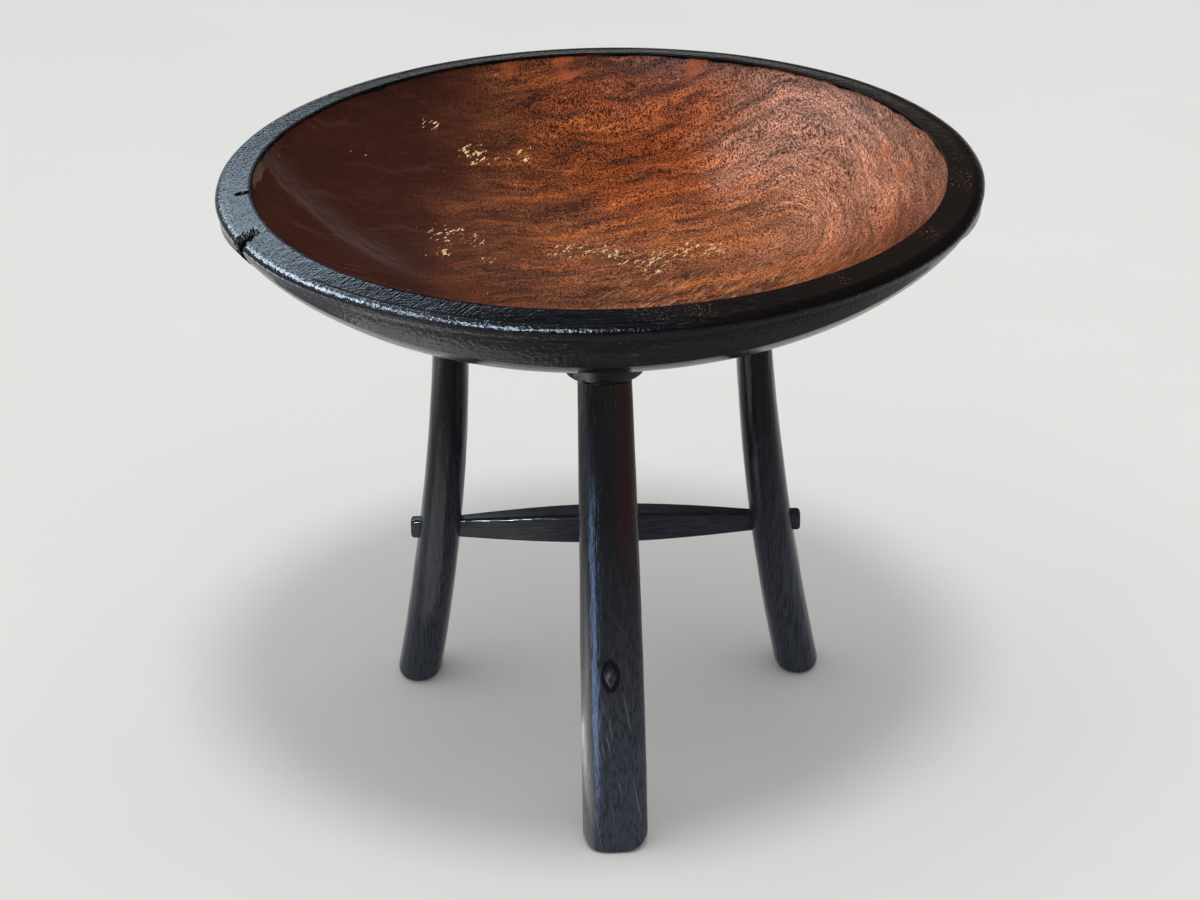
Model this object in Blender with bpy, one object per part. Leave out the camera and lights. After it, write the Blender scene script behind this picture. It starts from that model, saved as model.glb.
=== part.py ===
"""Round three-legged side table: a deep carved bowl on sabre legs, tied low down by a T of two rails.

Sizes are in metres, +Z is up, and the origin lies on the floor under the middle of the bowl.
The front leg stands towards -Y, and the other two stand a third of a turn to each side.
"""

import math

import bmesh
import bpy
from mathutils import Vector

# Gap left between two pieces that touch
CLEARANCE = 0.0003

# Bowl: its walls follow (r / radius) ** spread + (depth / full depth) ** squareness = 1
BOWL_RADIUS = 0.305
TABLE_HEIGHT = 0.502
BOWL_DEPTH = 0.1085
FLOOR_THICKNESS = 0.030
RIM_WIDTH = 0.0296
RIM_FALL = 0.003
RIM_OUTER_ROUND = 0.0055
RIM_INNER_ROUND = 0.002
OUTER_SPREAD = 2.9
OUTER_SQUARENESS = 1.3
INNER_SPREAD = 2.6
INNER_SQUARENESS = 1.35

# Bosses under the bowl, one over each leg and of its oval section
BOSS_DROP = 0.0045
BOSS_LEDGE = 0.001
BOSS_ROUND = 0.009
BOSS_FLARE = 0.012
BOSS_ROOT = 0.006

# Legs: width is measured across the leg's rail, thickness along it
LEG_TOP_RADIUS = 0.1435
FRONT_FOOT_RADIUS = 0.197
BACK_FOOT_RADIUS = 0.191
LEG_SWEEP = 1.8
LEG_TOP_WIDTH = 0.0428
LEG_FOOT_WIDTH = 0.056
LEG_TOP_THICKNESS = 0.028
LEG_FOOT_THICKNESS = 0.0384
LEG_SQUARENESS = 2.25
FOOT_ROUND = 0.006

# Round tenon at the top of each leg, spread by a wedge
TENON_SHOULDER = 0.003
TENON_LENGTH = 0.028
TENON_CHAMFER = 0.001
WEDGE_LENGTH = 0.016
WEDGE_HEAD = 0.0036
WEDGE_TIP = 0.0012
WEDGE_INSET = 0.001

# Rails: they swell from their tenons to the middle
RAIL_LEVEL = 0.146
RAIL_HEIGHT = 0.027
RAIL_DEPTH = 0.025
RAIL_CORNER = 0.005
RAIL_NECK = 0.003
RAIL_TENON_HEIGHT = 0.017
RAIL_TENON_WIDTH = 0.0115
RAIL_TENON_CORNER = 0.003
RAIL_PROUD = 0.0065
RAIL_TIP_HEIGHT = 0.010
RAIL_TIP_WIDTH = 0.004
STUB_LENGTH = 0.012

# Angle of each leg about Z and of the rail through it, in degrees, and how far out its foot stands
LEGS = {
    "front": (-90.0, -90.0, FRONT_FOOT_RADIUS),
    "right": (30.0, 0.0, BACK_FOOT_RADIUS),
    "left": (150.0, 180.0, BACK_FOOT_RADIUS),
}

# Facets
BOWL_SEGMENTS = 72
WALL_STEPS = 13
ROUND_STEPS = 4
SOCKET_SEGMENTS = 28
LEG_SIDES = 28
LEG_STEPS = 14
RAIL_STEPS = 6
CORNER_STEPS = 3

# Finishes: linear colour and roughness
BLACK_STAIN = ((0.012, 0.012, 0.014), 0.36)
RED_BROWN = ((0.155, 0.042, 0.017), 0.32)
BARE_WOOD = ((0.30, 0.17, 0.08), 0.70)

# Heights and sizes that follow from the values above
RIM_WALL_TOP = TABLE_HEIGHT - RIM_FALL - RIM_OUTER_ROUND
BOWL_BOTTOM = TABLE_HEIGHT - BOWL_DEPTH
BOSS_BOTTOM = BOWL_BOTTOM - BOSS_DROP
LEG_HEIGHT = BOSS_BOTTOM - CLEARANCE
TENON_RADIUS = LEG_TOP_THICKNESS / 2 - TENON_SHOULDER
TENON_TOP = LEG_HEIGHT + TENON_LENGTH


def clear_scene():
    for thing in list(bpy.data.objects):
        bpy.data.objects.remove(thing, do_unlink=True)


def finish_material(name, finish):
    colour, roughness = finish
    material = bpy.data.materials.new(name)
    material.use_nodes = True
    shader = material.node_tree.nodes["Principled BSDF"]
    shader.inputs["Base Color"].default_value = (*colour, 1.0)
    shader.inputs["Roughness"].default_value = roughness
    shader.inputs["Metallic"].default_value = 0.0
    return material


def add_object(name, mesh, parent, finish=None):
    thing = bpy.data.objects.new(name, mesh)
    bpy.context.scene.collection.objects.link(thing)
    thing.parent = parent
    if finish:
        mesh.materials.append(finish_material(name, finish))
    return thing


def mark_as_tool(thing):
    """A tool shapes another piece and isn't a piece itself."""
    thing.hide_render = True
    thing.display_type = "WIRE"


def combine(piece, tool, operation):
    modifier = piece.modifiers.new(f"{operation.lower()} {tool.name}", "BOOLEAN")
    modifier.operation = operation
    modifier.solver = "EXACT"
    modifier.object = tool


def mesh_from(name, bm, sharp_angle=40.0):
    bmesh.ops.recalc_face_normals(bm, faces=bm.faces)
    mesh = bpy.data.meshes.new(name)
    bm.to_mesh(mesh)
    bm.free()
    mesh.shade_smooth()
    mesh.set_sharp_from_angle(angle=math.radians(sharp_angle))
    return mesh


def turned_mesh(name, profile, segments):
    """A profile of (radius, height) points, from axis to axis, turned about Z."""
    bm = bmesh.new()
    points = [bm.verts.new((radius, 0.0, height)) for radius, height in profile]
    edges = [bm.edges.new(pair) for pair in zip(points, points[1:])]
    bmesh.ops.spin(
        bm,
        geom=points + edges,
        cent=(0.0, 0.0, 0.0),
        axis=(0.0, 0.0, 1.0),
        angle=2 * math.pi,
        steps=segments,
        use_merge=True,
    )
    bmesh.ops.remove_doubles(bm, verts=bm.verts, dist=1e-6)
    return mesh_from(name, bm)


def lofted_mesh(name, rings):
    """A skin over rings of equally many points, closed by a flat cap at each end."""
    bm = bmesh.new()
    rows = [[bm.verts.new(point) for point in ring] for ring in rings]
    count = len(rows[0])
    for low, high in zip(rows, rows[1:]):
        for i in range(count):
            j = (i + 1) % count
            bm.faces.new((low[i], low[j], high[j], high[i]))
    bm.faces.new(rows[0])
    bm.faces.new(rows[-1])
    return mesh_from(name, bm)


def quarter_round(centre, across, up, start, end):
    """Points of an ellipse arc about centre, from angle start to angle end in degrees."""
    for i in range(ROUND_STEPS + 1):
        angle = math.radians(start + (end - start) * i / ROUND_STEPS)
        yield centre[0] + across * math.cos(angle), centre[1] + up * math.sin(angle)


# Bowl


def wall_points(radius, top, depth, spread, squareness):
    """(radius, height) points down a bowl wall, from its edge to its middle."""
    points = []
    for i in range(WALL_STEPS):
        angle = math.pi / 2 * i / WALL_STEPS
        r = radius * math.cos(angle) ** (2 / spread)
        points.append((r, top - depth * math.sin(angle) ** (2 / squareness)))
    points.append((0.0, top - depth))
    return points


def outer_height(r):
    """Height of the bowl's underside at a radius."""
    depth = RIM_WALL_TOP - BOWL_BOTTOM
    return RIM_WALL_TOP - depth * (1 - (r / BOWL_RADIUS) ** OUTER_SPREAD) ** (1 / OUTER_SQUARENESS)


def bowl_profile():
    inner_edge = BOWL_RADIUS - RIM_WIDTH
    inner_top = TABLE_HEIGHT - RIM_INNER_ROUND
    floor = BOWL_BOTTOM + FLOOR_THICKNESS
    inside = wall_points(inner_edge, inner_top, inner_top - floor, INNER_SPREAD, INNER_SQUARENESS)
    lip_centre = (inner_edge + RIM_INNER_ROUND, inner_top)
    lip = quarter_round(lip_centre, RIM_INNER_ROUND, RIM_INNER_ROUND, 180, 90)
    arris_centre = (BOWL_RADIUS - RIM_OUTER_ROUND, RIM_WALL_TOP)
    arris = quarter_round(arris_centre, RIM_OUTER_ROUND, RIM_OUTER_ROUND, 90, 0)
    depth = RIM_WALL_TOP - BOWL_BOTTOM
    outside = wall_points(BOWL_RADIUS, RIM_WALL_TOP, depth, OUTER_SPREAD, OUTER_SQUARENESS)
    return inside[:0:-1] + list(lip) + list(arris) + outside[1:]


def boss_rings(turn):
    """Rings up a boss: a rounded lower edge, then a flare whose root runs up into the bowl's wall."""
    edge_growth = BOSS_LEDGE + BOSS_ROUND
    edge_top = BOSS_BOTTOM + BOSS_ROUND
    reach = LEG_TOP_RADIUS + LEG_TOP_WIDTH / 2 + edge_growth + BOSS_FLARE
    root_top = outer_height(reach) + BOSS_ROOT
    steps = list(quarter_round((BOSS_LEDGE, edge_top), BOSS_ROUND, BOSS_ROUND, -90, 0))
    for i in range(1, ROUND_STEPS + 1):
        share = i / ROUND_STEPS
        steps.append((edge_growth + BOSS_FLARE * share**2, edge_top + (root_top - edge_top) * share))
    thin, wide = LEG_TOP_THICKNESS / 2, LEG_TOP_WIDTH / 2
    return [oval_ring(0.0, z, thin + growth, wide + growth, turn, LEG_SQUARENESS) for growth, z in steps]


def socket_profile():
    radius = TENON_RADIUS + CLEARANCE
    top = TENON_TOP + CLEARANCE
    below = BOSS_BOTTOM - BOSS_DROP
    return [(0.0, top), (radius, top), (radius, below), (0.0, below)]


def build_bowl(parent):
    bowl = add_object("bowl", turned_mesh("bowl", bowl_profile(), BOWL_SEGMENTS), parent, BLACK_STAIN)
    bowl.data.materials.append(finish_material("bowl_inside", RED_BROWN))
    for face in bowl.data.polygons:
        middle = face.center
        reach = math.hypot(middle.x, middle.y)
        if reach < BOWL_RADIUS - RIM_WIDTH and face.normal.z > 0:
            face.material_index = 1
    for side in LEGS:
        boss_mesh = lofted_mesh(f"{side}_boss", boss_rings(leg_turn(side)))
        boss = add_object(f"{side}_boss", boss_mesh, parent)
        stand_at_leg(boss, side)
        mark_as_tool(boss)
        combine(bowl, boss, "UNION")
    socket_mesh = turned_mesh("socket", socket_profile(), SOCKET_SEGMENTS)
    for side in LEGS:
        socket = add_object(f"{side}_socket", socket_mesh, parent)
        stand_at_leg(socket, side)
        mark_as_tool(socket)
        combine(bowl, socket, "DIFFERENCE")
    return bowl


# Legs


def polar(angle, radius, height=0.0):
    turn = math.radians(angle)
    return Vector((radius * math.cos(turn), radius * math.sin(turn), height))


def stand_at_leg(thing, side):
    """Puts a piece where a leg leaves the bowl, with its own X pointing away from the middle."""
    angle, _, _ = LEGS[side]
    thing.location = polar(angle, LEG_TOP_RADIUS)
    thing.rotation_euler.z = math.radians(angle)


def leg_turn(side):
    """The angle from a leg's own X to the rail that goes through it."""
    angle, rail_angle, _ = LEGS[side]
    return math.radians(rail_angle - angle)


def leg_swell(height):
    """0 at the top of a leg, 1 at its foot, along a quarter of a sine."""
    return math.sin(math.pi / 2 * (1 - height / LEG_HEIGHT))


def leg_half_width(height):
    return (LEG_TOP_WIDTH + (LEG_FOOT_WIDTH - LEG_TOP_WIDTH) * leg_swell(height)) / 2


def leg_half_thickness(height):
    return (LEG_TOP_THICKNESS + (LEG_FOOT_THICKNESS - LEG_TOP_THICKNESS) * leg_swell(height)) / 2


def leg_reach(side, height):
    """How far the leg's middle line has swept out from where it leaves the bowl."""
    _, _, foot_radius = LEGS[side]
    return (foot_radius - LEG_TOP_RADIUS) * (1 - height / LEG_HEIGHT) ** LEG_SWEEP


def leg_slope(side, height):
    """How fast the middle line runs out as it goes down."""
    _, _, foot_radius = LEGS[side]
    share = 1 - height / LEG_HEIGHT
    return (foot_radius - LEG_TOP_RADIUS) * LEG_SWEEP * share ** (LEG_SWEEP - 1) / LEG_HEIGHT


def oval_ring(centre_x, height, half_thickness, half_width, turn, squareness):
    """A level ring, its thickness at angle turn to the leg's own X; a squareness of 2 is a plain ellipse."""
    ring = []
    for i in range(LEG_SIDES):
        angle = 2 * math.pi * i / LEG_SIDES
        c = math.copysign(abs(math.cos(angle)) ** (2 / squareness), math.cos(angle)) * half_thickness
        s = math.copysign(abs(math.sin(angle)) ** (2 / squareness), math.sin(angle)) * half_width
        x = centre_x + c * math.cos(turn) - s * math.sin(turn)
        ring.append((x, c * math.sin(turn) + s * math.cos(turn), height))
    return ring


def leg_rings(side):
    """Rings up a leg, from its rounded foot to the top of its tenon."""
    turn = leg_turn(side)
    levels = list(quarter_round((FOOT_ROUND, FOOT_ROUND), -FOOT_ROUND, FOOT_ROUND, -90, 0))
    for i in range(1, LEG_STEPS + 1):
        levels.append((0.0, FOOT_ROUND + (LEG_HEIGHT - FOOT_ROUND) * i / LEG_STEPS))
    rings = []
    for inset, height in levels:
        thin, wide = leg_half_thickness(height) - inset, leg_half_width(height) - inset
        rings.append(oval_ring(leg_reach(side, height), height, thin, wide, turn, LEG_SQUARENESS))
    for radius, height in (
        (TENON_RADIUS, LEG_HEIGHT),
        (TENON_RADIUS, TENON_TOP - TENON_CHAMFER),
        (TENON_RADIUS - TENON_CHAMFER, TENON_TOP),
    ):
        rings.append(oval_ring(0.0, height, radius, radius, turn, 2.0))
    return rings


def wedge_rings(half_across, growth=0.0, rise=0.0):
    """A wedge across a leg tenon, or with growth and rise the saw cut that holds it."""
    taper = (WEDGE_HEAD - WEDGE_TIP) / 2 / WEDGE_LENGTH
    rings = []
    for height in (TENON_TOP - WEDGE_LENGTH - growth, TENON_TOP + rise):
        half_thick = WEDGE_HEAD / 2 + growth - taper * (TENON_TOP - height)
        corners = ((-1, -1), (1, -1), (1, 1), (-1, 1))
        rings.append([(half_thick * sx, half_across * sy, height) for sx, sy in corners])
    return rings


def build_leg(side, parent):
    name = f"{side}_leg"
    leg = add_object(name, lofted_mesh(name, leg_rings(side)), parent, BLACK_STAIN)
    stand_at_leg(leg, side)
    mortise = add_object(f"{side}_mortise", mortise_mesh(side), parent)
    cut = wedge_rings(TENON_RADIUS + CLEARANCE, CLEARANCE, TENON_CHAMFER)
    kerf = add_object(f"{side}_kerf", lofted_mesh(f"{side}_kerf", cut), parent)
    stand_at_leg(kerf, side)
    for tool in (mortise, kerf):
        mark_as_tool(tool)
        combine(leg, tool, "DIFFERENCE")
    return leg


def build_wedge(side, parent):
    name = f"{side}_wedge"
    rings = wedge_rings(TENON_RADIUS - WEDGE_INSET)
    wedge = add_object(name, lofted_mesh(name, rings), parent, BARE_WOOD)
    stand_at_leg(wedge, side)
    return wedge


# Rails


def rail_ring(origin, along, distance, width, height, corner):
    """An upright rectangle, its corners rounded by just under half a side at most, square to the rail."""
    across = Vector((-along.y, along.x, 0.0))
    corner = min(corner, width / 2.1, height / 2.1)
    centre = origin + along * distance
    ring = []
    for sx, sz, start in ((1, 1, 0), (-1, 1, 90), (-1, -1, 180), (1, -1, 270)):
        for i in range(CORNER_STEPS + 1):
            angle = math.radians(start + 90 * i / CORNER_STEPS)
            u = sx * (width / 2 - corner) + corner * math.cos(angle)
            v = sz * (height / 2 - corner) + corner * math.sin(angle)
            ring.append(centre + across * u + Vector((0.0, 0.0, v)))
    return ring


def leg_at_rail(side):
    """Where a rail meets a leg's middle line, the leg's half thickness and its lean over the tenon."""
    angle, _, _ = LEGS[side]
    place = polar(angle, LEG_TOP_RADIUS + leg_reach(side, RAIL_LEVEL), RAIL_LEVEL)
    lean = leg_slope(side, RAIL_LEVEL) * math.cos(leg_turn(side))
    return place, leg_half_thickness(RAIL_LEVEL), lean * RAIL_TENON_HEIGHT / 2


def rail_direction(side):
    _, rail_angle, _ = LEGS[side]
    return polar(rail_angle, 1.0)


def tenon_ring(origin, along, distance, growth=0.0):
    width, height = RAIL_TENON_WIDTH + 2 * growth, RAIL_TENON_HEIGHT + 2 * growth
    return rail_ring(origin, along, distance, width, height, RAIL_TENON_CORNER + growth)


def tip_ring(origin, along, distance):
    return rail_ring(origin, along, distance, RAIL_TIP_WIDTH, RAIL_TIP_HEIGHT, RAIL_TENON_CORNER)


def swell_rings(origin, along, start, end):
    """Rings of the swelling body, from one neck to the other."""
    rings = []
    for i in range(2 * RAIL_STEPS + 1):
        share = i / (2 * RAIL_STEPS)
        swell = math.sin(math.pi * share)
        width = RAIL_TENON_WIDTH + (RAIL_DEPTH - RAIL_TENON_WIDTH) * swell
        height = RAIL_TENON_HEIGHT + (RAIL_HEIGHT - RAIL_TENON_HEIGHT) * swell
        corner = RAIL_TENON_CORNER + (RAIL_CORNER - RAIL_TENON_CORNER) * swell
        rings.append(rail_ring(origin, along, start + (end - start) * share, width, height, corner))
    return rings


def mortise_mesh(side):
    """The hole through a leg that a rail's tenon fills."""
    place, half, lean = leg_at_rail(side)
    along = rail_direction(side)
    reach = half + lean + RAIL_PROUD
    rings = [tenon_ring(place, along, d, CLEARANCE) for d in (-reach, reach)]
    return lofted_mesh(f"{side}_mortise", rings)


def build_cross_rail(parent):
    """The rail between the two back legs, with a tenon through each."""
    place, half, lean = leg_at_rail("right")
    along = rail_direction("right")
    middle = Vector((0.0, place.y, RAIL_LEVEL))
    neck = place.x - half - lean - RAIL_NECK
    face, tip = place.x + half + lean, place.x + half + RAIL_PROUD
    rings = [tip_ring(middle, along, -tip), tenon_ring(middle, along, -face)]
    rings += swell_rings(middle, along, -neck, neck)
    rings += [tenon_ring(middle, along, face), tip_ring(middle, along, tip)]
    rail = add_object("cross_rail", lofted_mesh("cross_rail", rings), parent, BLACK_STAIN)
    forward = rail_direction("front")
    depth = RAIL_DEPTH / 2 - STUB_LENGTH - CLEARANCE
    hole = [tenon_ring(middle, forward, d, CLEARANCE) for d in (depth, RAIL_DEPTH)]
    mortise = add_object("stub_mortise", lofted_mesh("stub_mortise", hole), parent)
    mark_as_tool(mortise)
    combine(rail, mortise, "DIFFERENCE")
    return rail


def build_middle_rail(parent):
    """The rail from the front leg, with a tenon through it, back to a stub in the cross rail."""
    place, half, lean = leg_at_rail("front")
    back_place, _, _ = leg_at_rail("right")
    along = rail_direction("front")
    cross_face = RAIL_DEPTH / 2
    origin = Vector((0.0, back_place.y, RAIL_LEVEL))
    leg_distance = origin.y - place.y
    face, tip = leg_distance + half + lean, leg_distance + half + RAIL_PROUD
    rings = [tenon_ring(origin, along, cross_face - STUB_LENGTH)]
    rings += swell_rings(origin, along, cross_face + RAIL_NECK, leg_distance - half - lean - RAIL_NECK)
    rings += [tenon_ring(origin, along, face), tip_ring(origin, along, tip)]
    return add_object("middle_rail", lofted_mesh("middle_rail", rings), parent, BLACK_STAIN)


def main():
    clear_scene()
    table = bpy.data.objects.new("side_table", None)
    bpy.context.scene.collection.objects.link(table)
    build_bowl(table)
    for side in LEGS:
        build_leg(side, table)
        build_wedge(side, table)
    build_cross_rail(table)
    build_middle_rail(table)


main()
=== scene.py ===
"""The look of the bowl-topped side table: hand-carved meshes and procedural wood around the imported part."""

import math

import bpy
import numpy as np
from mathutils import Matrix, Vector, noise


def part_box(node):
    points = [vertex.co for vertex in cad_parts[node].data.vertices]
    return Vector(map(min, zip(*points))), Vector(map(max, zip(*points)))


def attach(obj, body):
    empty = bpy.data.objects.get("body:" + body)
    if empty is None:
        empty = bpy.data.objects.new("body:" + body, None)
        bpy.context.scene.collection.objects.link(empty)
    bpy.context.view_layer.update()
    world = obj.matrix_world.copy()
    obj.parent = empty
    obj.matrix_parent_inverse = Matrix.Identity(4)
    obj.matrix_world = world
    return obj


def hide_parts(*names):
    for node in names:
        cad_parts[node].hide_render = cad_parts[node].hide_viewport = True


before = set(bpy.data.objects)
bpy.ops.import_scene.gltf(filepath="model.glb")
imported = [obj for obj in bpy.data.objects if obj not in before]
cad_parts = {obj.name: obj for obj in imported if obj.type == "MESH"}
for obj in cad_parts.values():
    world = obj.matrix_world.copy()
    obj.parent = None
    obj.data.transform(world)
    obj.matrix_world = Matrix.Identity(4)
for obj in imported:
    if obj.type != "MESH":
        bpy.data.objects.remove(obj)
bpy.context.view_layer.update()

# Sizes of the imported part, in metres
BOWL_LOW, BOWL_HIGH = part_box("bowl")
BOWL_RADIUS = BOWL_HIGH.x
TABLE_HEIGHT = BOWL_HIGH.z
BOSS_BOTTOM = BOWL_LOW.z
LEG_HEIGHT = BOSS_BOTTOM
RAIL_LEVEL = (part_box("cross_rail")[0].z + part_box("cross_rail")[1].z) / 2
FRONT_TENON_TIP = -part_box("middle_rail")[0].y
CROSS_TENON_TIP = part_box("cross_rail")[1].x

# Bowl: its walls follow (r / radius) ** spread + (depth / full depth) ** squareness = 1
BOWL_DEPTH = 0.1085
FLOOR_THICKNESS = 0.030
RIM_WIDTH = 0.0296
RIM_FALL = 0.003
RIM_CROWN = 0.0006
RIM_OUTER_ROUND = 0.0055
RIM_ROLL_WIDTH = 0.0095
RIM_INNER_ROUND = 0.002
LIP_REACH = 0.0035
ARRIS_INSET, ARRIS_REACH = 0.0004, 0.0010
ARRIS_ANGLES = (-138.0, -40.0)
OUTER_SPREAD, OUTER_SQUARENESS = 2.9, 1.3
INNER_SPREAD, INNER_SQUARENESS = 2.6, 1.35

# Tool work on the bowl: cells per metre with a seed, the shares of slow and quick waves, heights in metres
SLOW_RIPPLE, QUICK_RIPPLE = (7.0, 3.0), (22.0, 11.0)
SLOW_SHARE, QUICK_SHARE = 0.6, 0.4
RIM_QUICK_SHARE = 0.6
OUTSIDE_WAVE, INSIDE_WAVE, FLOOR_WAVE, RIM_WAVE = 0.0011, 0.0008, 0.0007, 0.0005
CALM_MIDDLE = 0.15
RIM_WAVE_RUN, RIM_WAVE_REACH = -0.012, 0.016

# Bosses under the bowl
BOSS_LEDGE = 0.001
BOSS_ROUND = 0.009
BOSS_FLARE = 0.012
BOSS_ROOT = 0.006
SMALLEST_RATIO = 1e-9

# Legs: width is measured across the leg's rail, thickness along it
LEG_TOP_RADIUS = 0.1435
FRONT_FOOT_RADIUS = 0.197
BACK_FOOT_RADIUS = 0.191
LEG_SWEEP = 1.8
LEG_TOP_WIDTH = 0.0428
LEG_FOOT_WIDTH = 0.056
LEG_TOP_THICKNESS = 0.028
LEG_FOOT_THICKNESS = 0.0384
LEG_SQUARENESS = 2.25
FOOT_ROUND = 0.006
FRONT_FOOT_SQUARENESS = 3.1
FRONT_SIDE_SLANT = 0.0085
FOOT_WEAR = 0.013
TENON_RADIUS = 0.011
TENON_LENGTH = 0.028
ROUND_SQUARENESS = 2.0

# Tool work on the legs: share, cells per metre and shift of seed of each ripple, drawn out along the leg
HEWING = ((0.6, 60.0, 0.0), (0.4, 140.0, 5.0))
HEWING_STRETCH = (1.0, 1.0, 0.22)
HEWING_HEIGHT, HEWING_SINK = 0.00055, 0.9
SEED_STEP = 17.0

# Rails: they swell from their tenons to the middle
RAIL_HEIGHT = 0.027
RAIL_DEPTH = 0.025
RAIL_CORNER = 0.0034
RAIL_TENON_HEIGHT = 0.017
RAIL_TENON_WIDTH = 0.0115
RAIL_TENON_CORNER = 0.0025
TENON_BASE_HEIGHT = 0.021
TENON_BASE_WIDTH = 0.0112
TENON_RIDGE_HEIGHT = 0.013
TENON_RIDGE_WIDTH = 0.0012
TENON_POINTEDNESS = 1.7
TENON_FACE_SHARE = 0.25
TENON_BLUNT = 0.0030
BLUNT_CORNER_LOSS = 0.6
TENON_SEAT = 0.6
STUB_LENGTH = 0.012

# Angle of each leg about Z and of the rail through it, in degrees, and how far out its foot stands
LEGS = {
    "front": (-90.0, -90.0, FRONT_FOOT_RADIUS),
    "right": (30.0, 0.0, BACK_FOOT_RADIUS),
    "left": (150.0, 180.0, BACK_FOOT_RADIUS),
}

# Crack on the left of the rim: angles in degrees, sizes in metres
CRACK_ANGLE, CRACK_RADIUS = -173.5, 0.2815
CRACK_LENGTH, CRACK_WIDTH, CRACK_DEPTH = 0.0125, 0.0072, 0.012
CRACK_SLOPE = 0.35
CRACK_INNER_RUN = 0.004

# Chip on the left of the rim: it widens outwards, its sides are jagged and its floor is torn in waves
CHIP_OUTER_ANGLE, CHIP_INNER_ANGLE = -155.4, -157.6
CHIP_INNER_RADIUS = 0.284
CHIP_WIDTH, CHIP_DEPTH = 0.019, 0.011
CHIP_INNER_SHARE, CHIP_START = -0.2, (-0.05, 0.1)
CHIP_INNER_WIDTH, CHIP_INNER_DEPTH = 0.62, 0.6
CHIP_JAGS = ((0.16, 17.0, 0.0), (0.11, 41.0, 1.0))
CHIP_TEAR, CHIP_TEAR_ACROSS, CHIP_TEAR_ALONG = 0.15, 2100.0, 11.0
CHIP_SLOPE = 0.2
CHIP_REACH_DOWN, CHIP_FADE = 0.035, (0.026, 0.012)
CHIP_SINK, CHIP_BITE, CHIP_BITE_RADII = 0.75, 0.6, (0.292, 0.302)
TORN_FROM, TORN_TO = (0.02, 0.12), (0.5, 0.3)
BROKEN_FROM = 0.2

# Places rubbed bare on the inside: x, y and reach in metres
WORN_PLACES = (
    (-0.104, 0.172, 0.026),
    (-0.080, 0.172, 0.012),
    (-0.062, 0.178, 0.018),
    (-0.140, 0.196, 0.014),
    (-0.126, 0.042, 0.032),
    (-0.100, 0.036, 0.020),
    (-0.124, 0.004, 0.016),
    (-0.090, 0.003, 0.018),
    (-0.024, 0.020, 0.030),
    (0.010, 0.018, 0.036),
    (0.036, -0.006, 0.040),
    (0.066, 0.017, 0.034),
    (0.090, 0.012, 0.026),
)
# Bright patches near the back of the lip and on the right wall
BRIGHT_PLACES = (
    (-0.022, 0.268, 0.018),
    (-0.075, 0.264, 0.010),
    (0.085, 0.256, 0.013),
    (0.236, 0.092, 0.012),
    (0.243, 0.050, 0.016),
)
BARE_LIP_ANGLE, BARE_LIP_REACH = 176.0, 7.0
# Places on the rim where the stain is rubbed: angle and reach in degrees
RUBBED_RIM = ((-6.5, 6.0), (-83.0, 4.5), (-76.0, 3.0), (-52.3, 1.2), (-30.0, 3.0), (-160.0, 3.0))
# Full strength reaches this share of a place's reach
SPOT_CORE, ARC_CORE = 0.3, 0.4

# Mesh density
BOWL_SEGMENTS = 300
DAMAGE_SPACING, CRACK_SPAN, CHIP_SPAN = 0.14, 1.2, 4.0
INSIDE_RINGS, LIP_RINGS, RIM_RINGS, ROLL_RINGS, OUTSIDE_RINGS = 84, 5, 28, 14, 92
INSIDE_CROWDING, OUTSIDE_CROWDING, INNERMOST_SHARE = 1.8, 1.5, 0.02
LEG_SIDES, LEG_RINGS, FOOT_RINGS = 96, 110, 8
RAIL_RINGS, RAIL_CORNER_STEPS, BLUNT_RINGS, RIDGE_RINGS = 60, 6, 6, 7

# Camera fitted to the rim, the legs and the feet: degrees, metres and millimetres
CAMERA_PLACE = (-0.0157, -2.5877, 1.5122)
CAMERA_DOWN, CAMERA_YAW, CAMERA_ROLL = 25.91, 0.26, -1.13
CAMERA_LENS, CAMERA_SENSOR = 105.0, 36.0


# Geometry helpers


def polar(angle, radius, height=0.0):
    turn = math.radians(angle)
    return Vector((radius * math.cos(turn), radius * math.sin(turn), height))


def part_way(low, high, share):
    return low + (high - low) * share


def smooth_step(low, high, value):
    share = np.clip((value - low) / (high - low), 0.0, 1.0)
    return share * share * (3 - 2 * share)


def ripple(points, scale, seed):
    """Smooth noise between -1 and 1 at each of an array of points."""
    offset = Vector((seed, seed * 2.3, seed * 0.7))
    return np.array([noise.noise(Vector(point) * scale + offset) for point in points])


def skin(name, rings, attributes=None):
    """A closed skin over equally long rings, each end drawn together in one middle point."""
    rings = np.asarray(rings, float)
    count, sides, _ = rings.shape
    points = np.concatenate([rings.reshape(-1, 3), rings[0].mean(0)[None], rings[-1].mean(0)[None]])
    first, last = count * sides, count * sides + 1
    faces = []
    for low in range(count - 1):
        for i in range(sides):
            j = (i + 1) % sides
            row, above = low * sides, (low + 1) * sides
            faces.append((row + i, row + j, above + j, above + i))
    for i in range(sides):
        j = (i + 1) % sides
        faces.append((first, j, i))
        faces.append((last, (count - 1) * sides + i, (count - 1) * sides + j))
    mesh = bpy.data.meshes.new(name)
    mesh.from_pydata(points.tolist(), [], faces)
    for label, values in (attributes or {}).items():
        values = np.asarray(values, float)
        flat = np.concatenate([values.reshape(-1), [values[0].mean(), values[-1].mean()]])
        layer = mesh.attributes.new(label, "FLOAT", "POINT")
        layer.data.foreach_set("value", flat.astype(np.float32))
    mesh.shade_smooth()
    return mesh


def add_piece(name, mesh, material, slot, *nodes):
    """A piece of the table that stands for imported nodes."""
    piece = bpy.data.objects.new(name, mesh)
    bpy.context.scene.collection.objects.link(piece)
    mesh.materials.append(material)
    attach(piece, "root")
    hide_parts(*nodes)


# Bowl


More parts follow.
